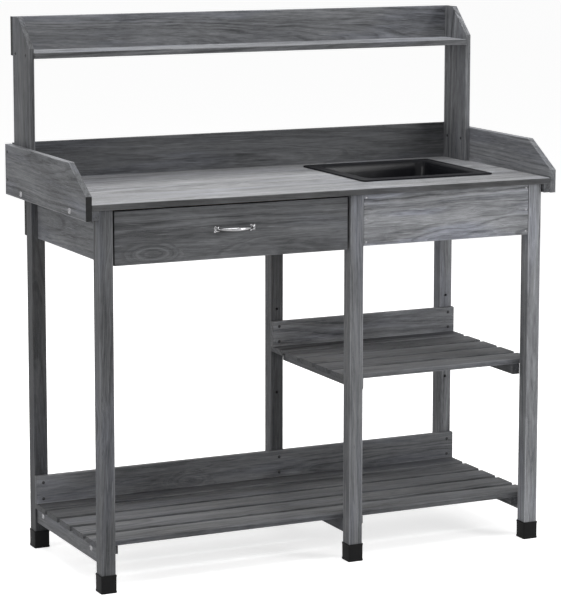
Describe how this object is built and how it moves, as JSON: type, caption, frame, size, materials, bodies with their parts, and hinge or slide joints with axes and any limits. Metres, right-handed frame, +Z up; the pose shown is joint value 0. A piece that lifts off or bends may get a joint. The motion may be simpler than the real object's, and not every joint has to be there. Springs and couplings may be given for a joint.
{
  "type": "potting bench",
  "caption": "Wooden garden potting bench with a drawer, a lift-out sink tray, an adjustable slatted shelf, a slatted bottom shelf and a small shelf at the back.",
  "frame": {"origin": "on the floor under the centre of the bench's overall box", "axes": "+Z up, +X to the right as one stands in front of the bench, +Y to the back; the drawer opens along -Y"},
  "size_m": [1.1476, 0.509, 1.206],
  "materials": {
    "frame_wood": "grey stained, matte",
    "worktop_wood": "grey stained, matte",
    "inner_wood": "bare",
    "cap_plastic": "matte",
    "sink_plastic": "semi-gloss",
    "handle_metal": "polished",
    "fixing_steel": "zinc plated"
  },
  "bodies": {
    "bench": {"apron_nails": "fixing_steel", "back_apron": "frame_wood", "back_left_foot_cap": "cap_plastic", "back_left_leg": "frame_wood", "back_middle_foot_cap": "cap_plastic", "back_middle_leg": "frame_wood", "back_right_foot_cap": "cap_plastic", "back_right_leg": "frame_wood", "board_screws": "fixing_steel", "bottom_bearers": "frame_wood", "bottom_left_rail": "frame_wood", "bottom_middle_rail": "frame_wood", "bottom_right_rail": "frame_wood", "bottom_shelf_back_board": "frame_wood", "bottom_shelf_slat_1": "frame_wood", "bottom_shelf_slat_2": "frame_wood", "bottom_shelf_slat_3": "frame_wood", "bottom_shelf_slat_4": "frame_wood", "bottom_shelf_slat_5": "frame_wood", "drawer_runners": "inner_wood", "drawer_stops": "inner_wood", "front_apron": "frame_wood", "front_apron_cleats": "inner_wood", "front_left_foot_cap": "cap_plastic", "front_left_leg": "frame_wood", "front_middle_foot_cap": "cap_plastic", "front_middle_leg": "frame_wood", "front_right_foot_cap": "cap_plastic", "front_right_leg": "frame_wood", "left_end_apron": "frame_wood", "left_side_board": "frame_wood", "left_upright": "frame_wood", "middle_apron": "frame_wood", "middle_bearers": "frame_wood", "middle_shelf_back_board": "frame_wood", "middle_shelf_dowels": "inner_wood", "middle_shelf_slat_1": "frame_wood", "middle_shelf_slat_2": "frame_wood", "middle_shelf_slat_3": "frame_wood", "middle_shelf_slat_4": "frame_wood", "middle_shelf_slat_5": "frame_wood", "rail_bolts": "fixing_steel", "right_end_apron": "frame_wood", "right_side_board": "frame_wood", "right_upright": "frame_wood", "side_board_bolts": "fixing_steel", "splash_back": "frame_wood", "top_battens": "frame_wood", "upper_back_board": "frame_wood", "upper_shelf": "frame_wood", "worktop": "worktop_wood"},
    "drawer": {"drawer_front": "frame_wood", "drawer_left_side": "inner_wood", "drawer_right_side": "inner_wood", "drawer_back": "inner_wood", "drawer_bottom": "inner_wood", "drawer_handle": "handle_metal", "handle_screws": "fixing_steel"},
    "sink": {"sink_tray": "sink_plastic"}
  },
  "joints": [
    {"name": "drawer_slide", "type": "slide", "parent": "bench", "child": "drawer", "axis": [0, -1, 0], "range_m": [0, 0.3]},
    {"name": "sink_lift", "type": "slide", "parent": "bench", "child": "sink", "axis": [0, 0, 1], "range_m": [0, 0.25]}
  ]
}
